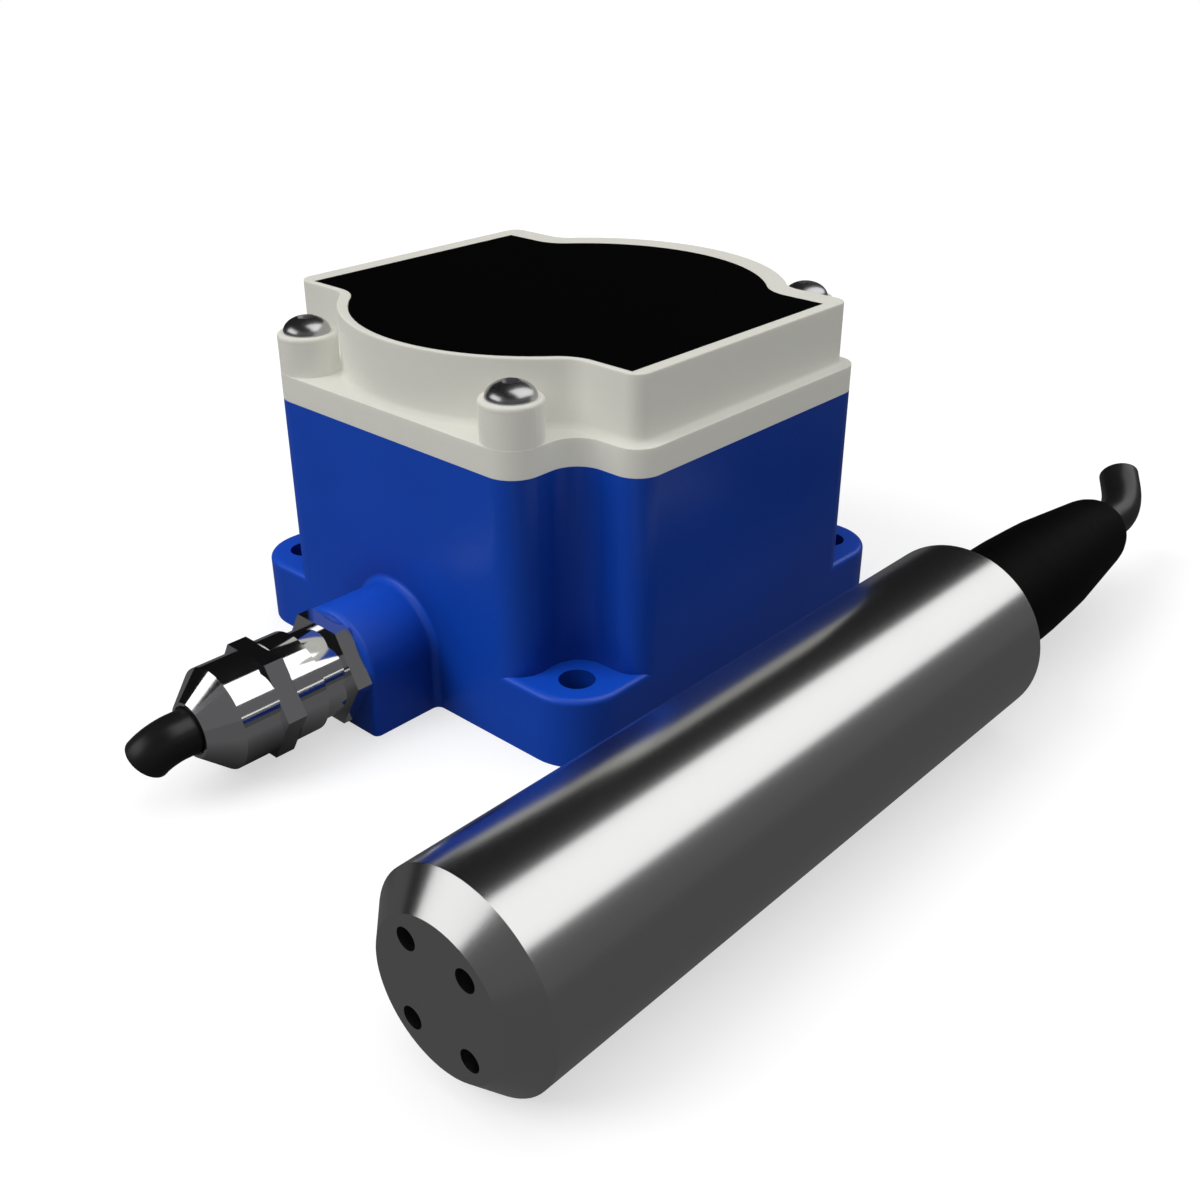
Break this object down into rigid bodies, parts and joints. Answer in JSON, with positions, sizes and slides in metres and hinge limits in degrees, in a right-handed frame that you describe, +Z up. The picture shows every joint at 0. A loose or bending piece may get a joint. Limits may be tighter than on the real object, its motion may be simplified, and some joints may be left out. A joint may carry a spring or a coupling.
{
  "type": "fuel tank monitor",
  "caption": "Blue moulded monitor box with a screwed off-white lid, face label and plated cable gland, and its stainless cylindrical level probe with a tapered cable boot beside it.",
  "frame": {"origin": "centre of the monitor box's base, at the middle of the four mounting holes, on the floor plane", "axes": "+Z up out of the base, +Y from the cable gland towards the rear of the box and along the probe from its nose to its cable, +X towards the probe"},
  "size_m": [0.1536, 0.2254, 0.0723],
  "materials": {
    "blue_plastic": "satin moulded",
    "white_plastic": "satin moulded",
    "label_film": "printed film",
    "screw_steel": "polished",
    "brass": "turned",
    "rubber": "matt",
    "board": "solder mask",
    "component": "moulded",
    "shield": "tinned",
    "terminal_green": "moulded",
    "battery_wrap": "film",
    "chrome_plate": "plated",
    "nylon": "moulded",
    "cable_jacket": "matt",
    "core_insulation": "extruded",
    "stainless": "fine turned"
  },
  "bodies": {
    "root": {"housing": "blue_plastic", "threaded_inserts": "brass", "lid": "white_plastic", "lid_gasket": "rubber", "lid_screws": "screw_steel", "face_label": "label_film", "circuit_board": "board", "board_screws": "screw_steel", "radio_module": "shield", "processor_chip": "component", "board_capacitor": "component", "antenna": "component", "terminal_block": "terminal_green", "terminal_screws": "screw_steel", "battery_holder": "component", "battery_cells": "battery_wrap", "battery_contacts": "shield", "gland_body": "chrome_plate", "gland_o_ring": "rubber", "gland_seal": "rubber", "gland_clamp": "nylon", "gland_cap": "chrome_plate", "box_cable": "cable_jacket", "box_cable_cores": "core_insulation", "probe_body": "stainless", "pressure_sensor": "screw_steel", "sensor_seal": "rubber", "sensor_retainer": "nylon", "probe_board": "board", "probe_chips": "component", "rear_plug": "nylon", "plug_o_rings": "rubber", "cable_boot": "rubber", "probe_cable": "cable_jacket", "probe_cable_cores": "core_insulation"}
  },
  "joints": []
}
